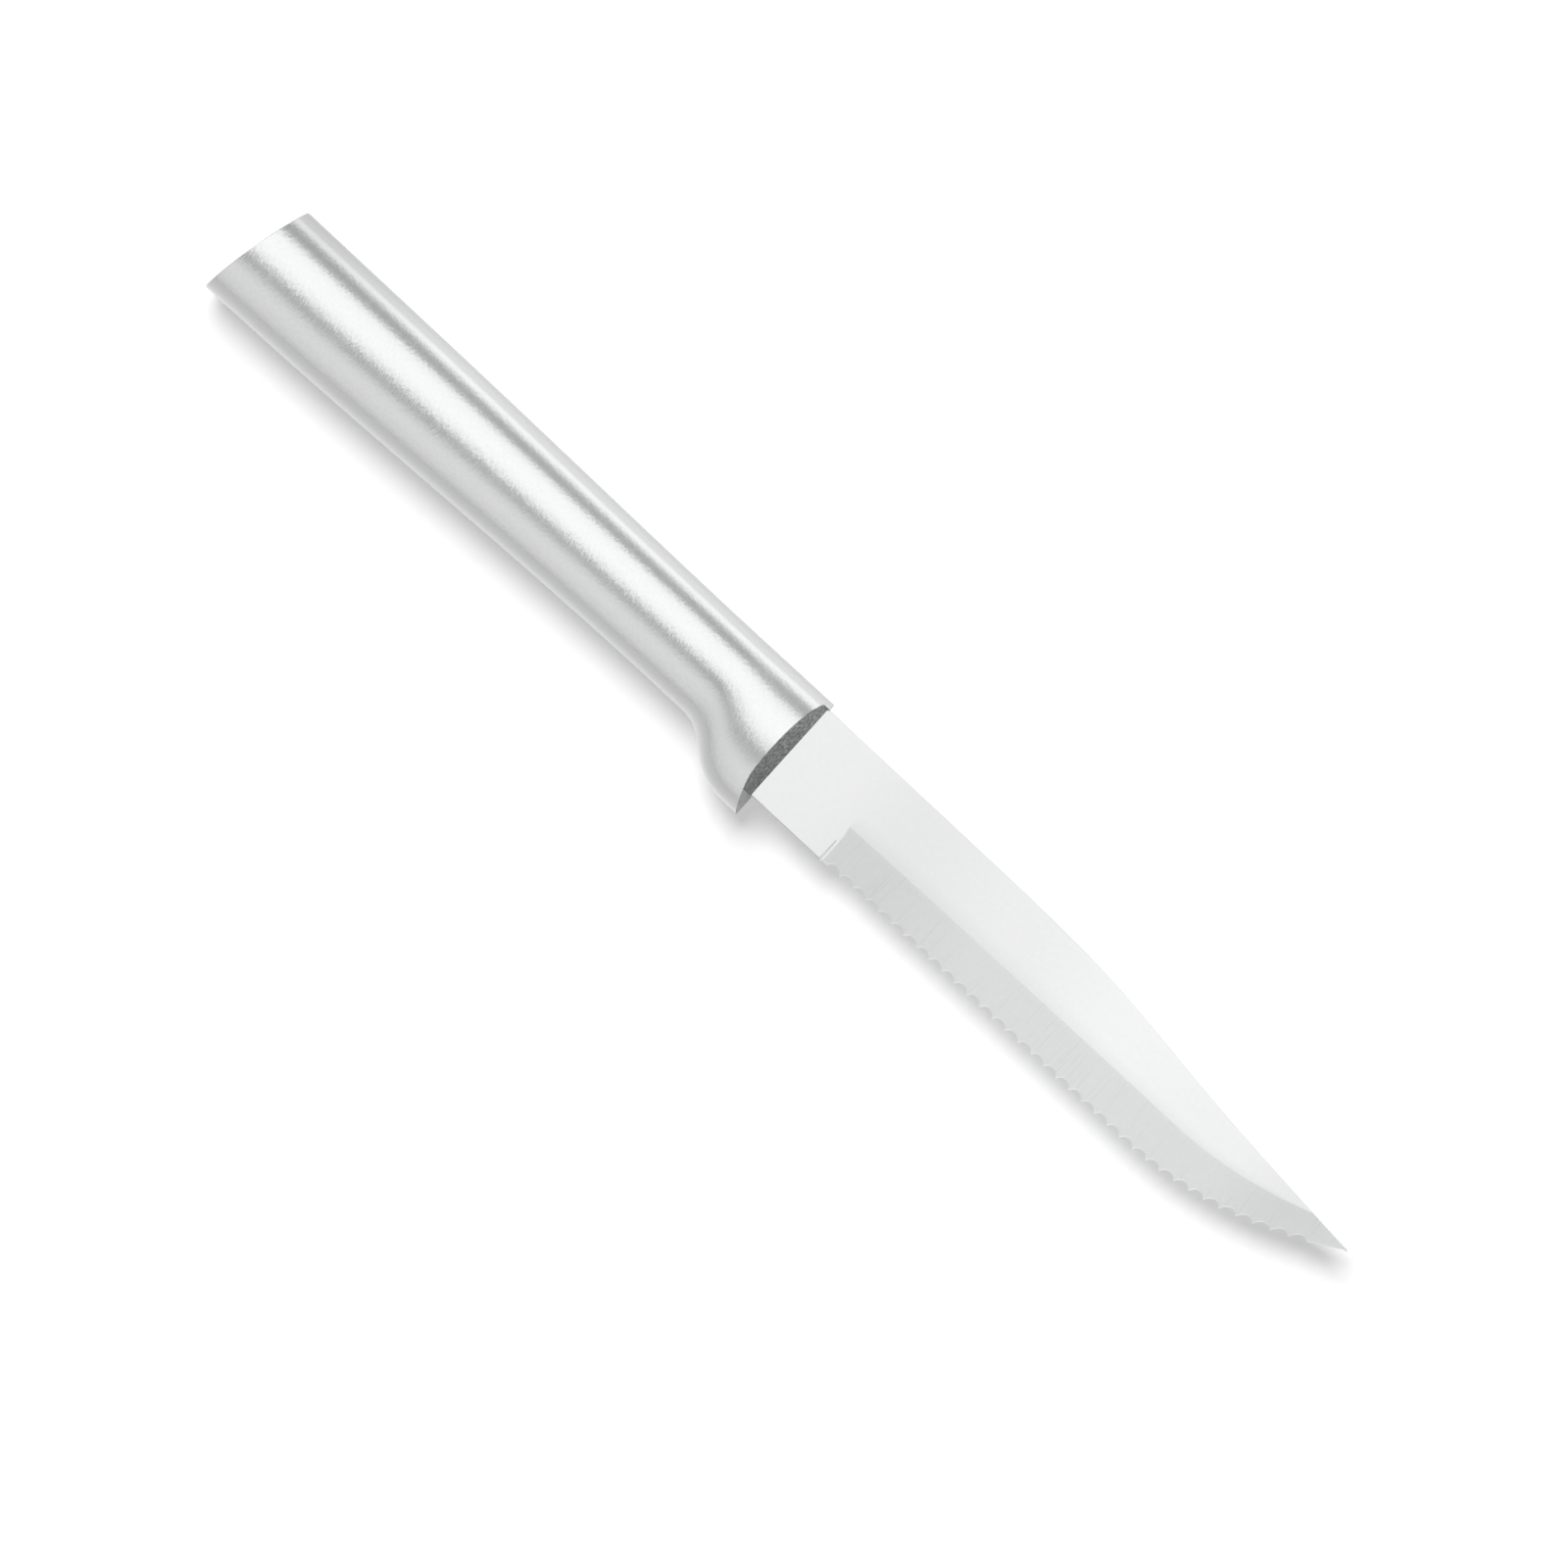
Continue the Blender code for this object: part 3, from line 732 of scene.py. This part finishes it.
def blade_section(blade, x):
    """One closed section: the upper side from spine to edge, and the lower side back."""
    sizes = blade.sizes
    spine = blade.spine(x)
    edge = min(blade.edge(x) + blade.scallop_rise(x), spine - sizes.nib)
    height = spine - edge
    half = sizes.thickness / 2
    corner = min(sizes.corner, CORNER_SHARE * height)
    soft = min(sizes.bevel_soft, LINE_WEAR_SHARE * height)
    highest = spine - corner - LINE_GAP - soft
    line = max(min(blade.bevel(x), highest), edge + LOWEST_LINE * height)
    cheek = max(spine - corner - ROW_GAP, line + soft + ROW_GAP / 4)
    upper = [(y, z - bevel_drop(blade, x, y)) for y, z in corner_rows(spine, corner, half, 1)]
    for y in steps(cheek, line + soft, CHEEK_ROWS)[1:] + [line + soft, line, line - soft]:
        upper.append((y, half - bevel_drop(blade, x, y)))
    if blade.in_root(x):
        foot = root_foot(sizes, edge, line - soft)
    else:
        foot = ground_edge(blade, x, edge, line, soft)
    lower = [(y, -z) for y, z in reversed(upper)]
    return [Vector((x, y, MIDDLE_Z + z)) for y, z in upper + foot + lower]


def ground_body(sizes):
    """The blade in front of its shoulder."""
    blade = BladeLines(sizes)
    places = blade.stations()
    sections = [blade_section(blade, x) for x in places]
    rows = len(sections[0])
    line_row = CORNER_ROWS + 1 + CHEEK_ROWS
    edge_row = line_row + LOWER_ROWS + CORNER_ROWS + 3

    def zone(column, row):
        x = places[column]
        on_edge = edge_row - CORNER_ROWS - 1 <= row < edge_row
        # Material 3 paints shade on the root's lower corner and in a line at the foot of the stop
        if blade.in_root(x):
            in_line = x > blade.stop_x - 2 * sizes.stop_line and row > line_row + LOWER_ROWS / 2
            return 3 if on_edge or in_line and row < edge_row else 0
        if on_edge:
            return 2
        if blade.bevel(x) > blade.spine(x) - sizes.corner:
            return 1
        return 1 if line_row <= row < rows - line_row else 0

    def run(column, row):
        point = sections[column][row % rows]
        lean = GRIND_LEAN + GRIND_LEAN_GAIN * ease(2 * point.x / POINT_X - 1)
        return ((point.x + lean * (point.y - blade.edge_y)) / MM, point.y / MM)

    return skin(sections, zone, run)


def build_blade(settings):
    """Grind the blade and join it to its tang."""
    sizes = settings.blade
    metals = [satin_steel(settings.finish), ground_steel(settings.finish),
              honed_steel(settings.finish), shaded_steel(settings.finish)]
    blade = new_piece(ground_body(sizes), "ground_blade", metals)
    tang = keyed_tang(sizes, "tang", 0.0)
    combine(blade, tang, "UNION")
    settle(blade, [tang], BLADE_SHARP)
    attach(blade, "root")
    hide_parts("blade")
    return blade


# Metals

# Painted highlight and shade: grey levels along the blade from the handle, 0, to the point, 1,
# lightest past the middle of the blade and darker towards both ends
CHEEK_PAINTED_LIGHT = ((0, 0.945), (0.06, 0.94), (0.19, 0.89), (0.39, 0.94), (0.585, 1), (0.78, 0.975),
               (0.913, 0.9), (1, 0.88))
BEVEL_PAINTED_LIGHT = ((0, 0.9), (0.19, 0.92), (0.39, 0.99), (0.585, 1), (0.78, 0.99), (0.913, 0.9),
               (1, 0.9))

# Painted shade on the handle's flanks: grey levels by the steepness of the handle's side, from flat,
# 0, to upright, 1
BACK_PAINTED_SHADE = ((0, 1), (0.5, 1), (0.56, 0.8), (0.64, 0.77), (0.8, 0.63), (0.9, 0.47), (1, 0.46))
BELLY_PAINTED_SHADE = ((0, 1), (0.29, 1), (0.367, 0.955), (0.42, 0.8), (0.48, 0.6), (0.52, 0.56),
               (0.6, 0.57), (0.75, 0.65), (1, 0.75))

# Painted shade on the back near the butt: by how much, from which steepness and how near
BUTT_SHADE = 0.17
BUTT_SHADE_STEEP = (0.25, 0.40)
BUTT_SHADE_REACH = (7 * MM, 30 * MM)
# Between these levels of the sideways normal the belly's painted shade turns into the back's
BELLY_TO_BACK = (0.45, 0.55)


class Nodes:
    """The nodes of a material or world, placed and linked."""

    def __init__(self, tree):
        self.tree = tree
        tree.nodes.clear()

    def add(self, kind, values=None, **settings):
        """Add a node, set its settings, and set or link its inputs."""
        node = self.tree.nodes.new(kind)
        for name, value in settings.items():
            setattr(node, name, value)
        for name, value in (values or {}).items():
            socket = node.inputs[name]
            if isinstance(value, bpy.types.NodeSocket):
                self.tree.links.new(value, socket)
            else:
                socket.default_value = value
        return node

    def maths(self, operation, first, second=0.0, **settings):
        """One Math node."""
        node = self.add("ShaderNodeMath", {0: first, 1: second}, operation=operation, **settings)
        return node.outputs[0]

    def times(self, level, *others):
        """Levels multiplied by one another."""
        for other in others:
            level = self.maths("MULTIPLY", level, other)
        return level

    def ramp(self, value, stops, smooth=False):
        """A grey ramp through (place, level) stops."""
        node = self.add("ShaderNodeValToRGB", {"Fac": value})
        node.color_ramp.interpolation = "EASE" if smooth else "LINEAR"
        elements = node.color_ramp.elements
        while len(elements) < len(stops):
            elements.new(0.5)
        for element, (place, level) in zip(elements, stops):
            element.position = place
            element.color = grey(level)
        return node.outputs["Color"]

    def noise(self, place, scale, detail, roughness=0.5):
        """Plain noise."""
        node = self.add("ShaderNodeTexNoise", {"Vector": place, "Scale": scale, "Detail": detail,
                                               "Roughness": roughness})
        return node.outputs["Fac"]

    def streaks(self, across, along, detail, seed, lean=0.0):
        """Scratches: noise with so many features to a millimetre across and along them."""
        mapping = self.add("ShaderNodeMapping", {
            "Vector": self.position("UV"), "Scale": (across, along, 1.0),
            "Rotation": (0.0, 0.0, lean), "Location": (seed, seed, 0.0)})
        return self.noise(mapping.outputs[0], 1.0, detail, 0.6)

    def span(self, value, start, end, low=0.0, high=1.0):
        """A level that runs from low to high as a value runs from start to end."""
        node = self.add("ShaderNodeMapRange", {"Value": value, "From Min": start, "From Max": end,
                                               "To Min": low, "To Max": high})
        return node.outputs[0]

    def mix(self, factor, first, second, blend="MIX"):
        """One colour turned into another, or multiplied by it."""
        node = self.add("ShaderNodeMix", {0: factor, 6: first, 7: second}, data_type="RGBA",
                        blend_type=blend)
        return node.outputs[2]

    def bump(self, height, strength, distance):
        """The direction of a surface with this relief."""
        node = self.add("ShaderNodeBump", {"Height": height, "Strength": strength,
                                           "Distance": distance})
        return node.outputs[0]

    def axes(self, place):
        """The X, Y and Z of a vector."""
        return self.add("ShaderNodeSeparateXYZ", {0: place}).outputs

    def position(self, kind="Object"):
        """The position on the object, or another coordinate."""
        return self.add("ShaderNodeTexCoord").outputs[kind]


def grey(level):
    """A grey colour."""
    return (level, level, level, 1.0)


class Surface(Nodes):
    """The nodes of one new material."""

    def __init__(self, name):
        self.material = bpy.data.materials.new(name)
        self.material.use_nodes = True
        super().__init__(self.material.node_tree)

    def metal(self, tint, level, roughness, others=None):
        """Make it a metal: a tint, multiplied by a level if there is one."""
        base = (*tint, 1.0)
        if level:
            base = self.mix(1.0, base, level, "MULTIPLY")
        values = {"Base Color": base, "Metallic": 1.0, "Roughness": roughness, **(others or {})}
        shader = self.add("ShaderNodeBsdfPrincipled", values)
        self.add("ShaderNodeOutputMaterial", {"Surface": shader.outputs[0]})
        return self.material


def flank_painted_shade(nodes):
    """Painted shade: a grey level that falls where the handle's side turns steep, on the back and the
    belly.
    """
    lean = nodes.axes(nodes.add("ShaderNodeUVMap", uv_map="lean").outputs[0])
    steep = nodes.span(lean["X"], *BUTT_SHADE_STEEP)
    near, far = BUTT_SHADE_REACH
    along = nodes.axes(nodes.position())["X"]
    near_butt = nodes.span(along, BUTT_X + near, BUTT_X + far, BUTT_SHADE, 0.0)
    kept = nodes.maths("SUBTRACT", 1.0, nodes.times(steep, near_butt))
    back = nodes.times(nodes.ramp(lean["X"], BACK_PAINTED_SHADE), kept)
    belly = nodes.ramp(lean["X"], BELLY_PAINTED_SHADE)
    return nodes.mix(nodes.span(lean["Y"], *BELLY_TO_BACK), belly, back)


def brushed_aluminium(settings):
    """The handle: fine scratches that run round it, and painted shade on its steep flanks."""
    finish = settings.finish
    nodes = Surface("brushed_aluminium")
    hairs = nodes.streaks(across=6.0, along=1.4, detail=1.5, seed=0.0, lean=0.12)
    level = nodes.times(nodes.ramp(hairs, [(0.25, 0.925), (0.75, 1)]), flank_painted_shade(nodes))
    tangent = nodes.add("ShaderNodeTangent", direction_type="UV_MAP", uv_map="wrap")
    return nodes.metal(finish.handle_colour, level, finish.handle_roughness, {
        "Anisotropic": finish.handle_grain,
        "Normal": nodes.bump(hairs, strength=1.0, distance=finish.scratch_depth),
        "Tangent": tangent.outputs[0],
    })


def cast_skin(finish):
    """The rough skin that the die leaves round the blade, lighter towards the back."""
    nodes = Surface("cast_skin")
    grain = nodes.noise(nodes.position(), scale=2050.0, detail=2.0, roughness=0.7)
    up = nodes.axes(nodes.position())["Y"]
    level = nodes.times(nodes.ramp(grain, [(0.36, 0.58), (0.5, 0.95), (0.64, 1.62)]),
                        nodes.span(up, ROOT_EDGE_Y, SPINE_Y, low=0.80, high=1.32))
    return nodes.metal(finish.cast_colour, level, 0.6, {
        "Metallic": 0.6,
        "Normal": nodes.bump(grain, strength=0.7, distance=0.1 * MM),
    })


def sanded_aluminium(finish, name, low, high):
    """Plain sanded metal: the butt's face, and the trimmed part of the front below the blade."""
    nodes = Surface(name)
    grain = nodes.noise(nodes.position(), scale=2500.0, detail=2.0)
    level = nodes.ramp(grain, [(0.3, low), (0.7, high)])
    return nodes.metal(finish.handle_colour, level, finish.sanded_roughness)


def painted_light_along_blade(nodes, stops):
    """Painted highlight and shade: a grey level that follows stops from the handle, 0, to the point,
    1.
    """
    reach = nodes.span(nodes.axes(nodes.position())["X"], FRONT_X, POINT_X)
    return nodes.ramp(reach, stops, smooth=True)


def satin_steel(finish):
    """The blade's cheek, with painted highlight and shade along the blade."""
    nodes = Surface("satin_steel")
    grain = nodes.streaks(across=1.6, along=1.2, detail=2.0, seed=3.0)
    level = nodes.times(nodes.ramp(grain, [(0.3, 0.98), (0.7, 1)]),
                        painted_light_along_blade(nodes, CHEEK_PAINTED_LIGHT))
    return nodes.metal(finish.cheek_colour, level, finish.cheek_roughness)


def honed_steel(finish):
    """The narrow strip along the edge, with painted highlight and shade along the blade."""
    nodes = Surface("honed_steel")
    level = painted_light_along_blade(nodes, BEVEL_PAINTED_LIGHT)
    return nodes.metal(finish.honed_colour, level, finish.honed_roughness)


def shaded_steel(finish):
    """Painted shade on the lower corner of the root and at the foot of the stop."""
    return Surface("shaded_steel").metal(finish.shaded_colour, None, finish.bevel_roughness)


def ground_steel(finish):
    """The blade's bevel: grinding lines across it, and painted highlight and shade along the blade.
    """
    nodes = Surface("ground_steel")
    lines = nodes.streaks(across=5.5, along=0.3, detail=2.0, seed=11.0)
    marks = nodes.streaks(across=2.6, along=1.0, detail=1.0, seed=4.0)
    deep = nodes.streaks(across=3.2, along=0.12, detail=0.0, seed=23.0)
    level = nodes.times(nodes.ramp(lines, [(0.28, 0.98), (0.5, 0.996), (0.7, 1)]),
                        nodes.ramp(marks, [(0.3, 0.975), (0.7, 1)]),
                        nodes.ramp(deep, [(0.25, 0.955), (0.36, 1)]),
                        painted_light_along_blade(nodes, BEVEL_PAINTED_LIGHT))
    return nodes.metal(finish.bevel_colour, level, finish.bevel_roughness, {
        "Normal": nodes.bump(lines, strength=0.15, distance=0.02 * MM),
    })


# The studio

# The tent's level by the direction across the knife, in degrees: -90 lies past the edge, 0 above
# and 90 past the spine
TENT = (
    (-180, 0.93), (-96, 0.93), (-88, 0.90), (-76, 0.73), (-66, 0.67), (-52, 0.70), (-40, 0.74),
    (-30, 0.69), (-22, 0.54), (-15, 0.31), (-8, 0.32), (-3, 0.80), (1, 1.03), (8, 1.08), (37, 1.07),
    (43, 0.88), (47, 0.50), (53, 0.36), (62, 0.34), (70, 0.52), (79, 0.95), (86, 1.10), (96, 0.98),
    (110, 0.70), (180, 0.60),
)

# The colours are shares of this level
TENT_TOP = 1.5

# The tent is brighter past the point, from these X of a direction on
POINT_END = (0.30, 0.45)
POINT_END_SHARE = 0.9
POINT_END_LEVEL = 0.85
# This bright end fades further out, where the direction also leans sideways or stays low
FADE_X = (0.52, 0.66)
FADE_ASIDE = (0.30, 0.42)
FADE_LOW = (0.48, 0.36)
FADED_LEVEL = 0.42
# The tent is grey past the butt
BUTT_END = (-0.75, -0.92)
BUTT_END_LEVEL = 0.45


def tent_colour(nodes):
    """The tent's brightness by direction: bands along the knife, and two ends."""
    direction = nodes.axes(nodes.position("Generated"))
    turn = nodes.maths("ARCTAN2", direction["Y"], direction["Z"])
    stops = [((degrees + 180) / 360, level / TENT_TOP) for degrees, level in TENT]
    bands = nodes.ramp(nodes.span(turn, -math.pi, math.pi), stops, smooth=True)
    aside = nodes.span(nodes.maths("ABSOLUTE", direction["Y"]), *FADE_ASIDE)
    low = nodes.span(direction["Z"], *FADE_LOW)
    faded = nodes.times(nodes.span(direction["X"], *FADE_X), nodes.maths("MAXIMUM", aside, low))
    end_level = nodes.span(faded, 0.0, 1.0, POINT_END_LEVEL, FADED_LEVEL)
    point_end = nodes.span(direction["X"], *POINT_END, high=POINT_END_SHARE)
    butt_end = nodes.span(direction["X"], *BUTT_END)
    return nodes.mix(butt_end, nodes.mix(point_end, bands, end_level), grey(BUTT_END_LEVEL))


def light_tent(studio):
    """A white tent with soft dark gaps, which the metal shows as bands along the knife."""
    world = bpy.data.worlds.new("light_tent")
    world.use_nodes = True
    nodes = Nodes(world.node_tree)
    path = nodes.add("ShaderNodeLightPath").outputs
    level = TENT_TOP * studio.light
    strength = nodes.span(path["Is Diffuse Ray"], 0.0, 1.0, level, level * studio.tent_on_floor)
    tent = nodes.add("ShaderNodeBackground", {"Color": tent_colour(nodes), "Strength": strength})
    white = nodes.add("ShaderNodeBackground", {"Color": grey(1.0), "Strength": 1.0})
    mix = nodes.add("ShaderNodeMixShader", {0: path["Is Camera Ray"], 1: tent.outputs[0],
                                            2: white.outputs[0]})
    nodes.add("ShaderNodeOutputWorld", {"Surface": mix.outputs[0]})
    bpy.context.scene.world = world


def floor_finish(studio):
    """A white floor that keeps the knife's shadow."""
    nodes = Surface("white_floor")
    matt = nodes.add("ShaderNodeBsdfDiffuse", {"Color": grey(studio.floor_white)})
    path = nodes.add("ShaderNodeLightPath").outputs
    seen = nodes.maths("ADD", path["Is Camera Ray"], path["Is Glossy Ray"])
    seen = nodes.maths("ADD", seen, path["Is Transmission Ray"], use_clamp=True)
    strength = nodes.times(seen, studio.floor_glow)
    glow = nodes.add("ShaderNodeEmission", {"Color": grey(1.0), "Strength": strength})
    both = nodes.add("ShaderNodeAddShader", {0: matt.outputs[0], 1: glow.outputs[0]})
    nodes.add("ShaderNodeOutputMaterial", {"Surface": both.outputs[0]})
    return nodes.material


def build_floor(studio):
    """Lay the floor."""
    mesh = bmesh.new()
    bmesh.ops.create_grid(mesh, x_segments=8, y_segments=8, size=studio.floor_size / 2)
    new_piece(mesh, "floor", [floor_finish(studio)])


def build_key(studio):
    """The key lamp, which throws the knife's soft shadow towards its edge."""
    data = bpy.data.lights.new("key", "SUN")
    data.energy = studio.key
    data.angle = studio.key_size
    key = place_object("key", data)
    key.rotation_euler = (-studio.key_tilt, 0.0, studio.turn + studio.key_side)
    key.visible_glossy = False


def build_camera(studio):
    """Hang the camera straight over the knife, turned as the picture is."""
    data = bpy.data.cameras.new("camera")
    data.lens = studio.lens
    distance = studio.frame_width * data.lens / data.sensor_width
    camera = place_object("camera", data)
    camera.location = (studio.centre_x, studio.centre_y, MIDDLE_Z + distance)
    camera.rotation_euler = (0.0, 0.0, studio.turn)
    bpy.context.scene.camera = camera
    bpy.context.scene.view_settings.view_transform = "Standard"


# Operators and panel

class STEAK_KNIFE_OT_cast_handle(Operator):
    """Cast the aluminium handle round the tang"""

    bl_idname = "steak_knife.cast_handle"
    bl_label = "Cast the handle"
    bl_options = {"REGISTER", "UNDO"}

    def execute(self, context):
        build_handle(context.scene.steak_knife)
        return {"FINISHED"}


class STEAK_KNIFE_OT_grind_blade(Operator):
    """Grind the steel blade and its scallops"""

    bl_idname = "steak_knife.grind_blade"
    bl_label = "Grind the blade"
    bl_options = {"REGISTER", "UNDO"}

    def execute(self, context):
        build_blade(context.scene.steak_knife)
        return {"FINISHED"}


class STEAK_KNIFE_OT_set_stage(Operator):
    """Lay the floor, light it and hang the camera"""

    bl_idname = "steak_knife.set_stage"
    bl_label = "Set the stage"
    bl_options = {"REGISTER", "UNDO"}

    def execute(self, context):
        studio = context.scene.steak_knife.studio
        build_floor(studio)
        light_tent(studio)
        build_key(studio)
        build_camera(studio)
        return {"FINISHED"}


class STEAK_KNIFE_PT_panel(Panel):
    """The steak knife's panel in the sidebar"""

    bl_idname = "STEAK_KNIFE_PT_panel"
    bl_label = "Steak knife"
    bl_space_type = "VIEW_3D"
    bl_region_type = "UI"
    bl_category = "Steak knife"

    def draw(self, context):
        for kind in OPERATORS:
            self.layout.operator(kind.bl_idname)
        settings = context.scene.steak_knife
        for group in (settings.handle, settings.blade, settings.finish, settings.studio):
            column = self.layout.column(align=True)
            for name in group.bl_rna.properties.keys():
                if name not in ("rna_type", "name"):
                    column.prop(group, name)


GROUPS = (HandleSizes, BladeSizes, MetalFinish, Studio, KnifeSettings)
OPERATORS = (STEAK_KNIFE_OT_set_stage, STEAK_KNIFE_OT_cast_handle, STEAK_KNIFE_OT_grind_blade)


def register():
    """Register the settings, operators and panel."""
    for kind in GROUPS + OPERATORS + (STEAK_KNIFE_PT_panel,):
        bpy.utils.register_class(kind)
    bpy.types.Scene.steak_knife = PointerProperty(type=KnifeSettings)


def unregister():
    """Take them away again."""
    del bpy.types.Scene.steak_knife
    for kind in reversed(GROUPS + OPERATORS + (STEAK_KNIFE_PT_panel,)):
        bpy.utils.unregister_class(kind)


def main():
    """Make the whole scene."""
    register()
    bpy.ops.steak_knife.set_stage()
    bpy.ops.steak_knife.cast_handle()
    bpy.ops.steak_knife.grind_blade()


if __name__ == "__main__":
    main()
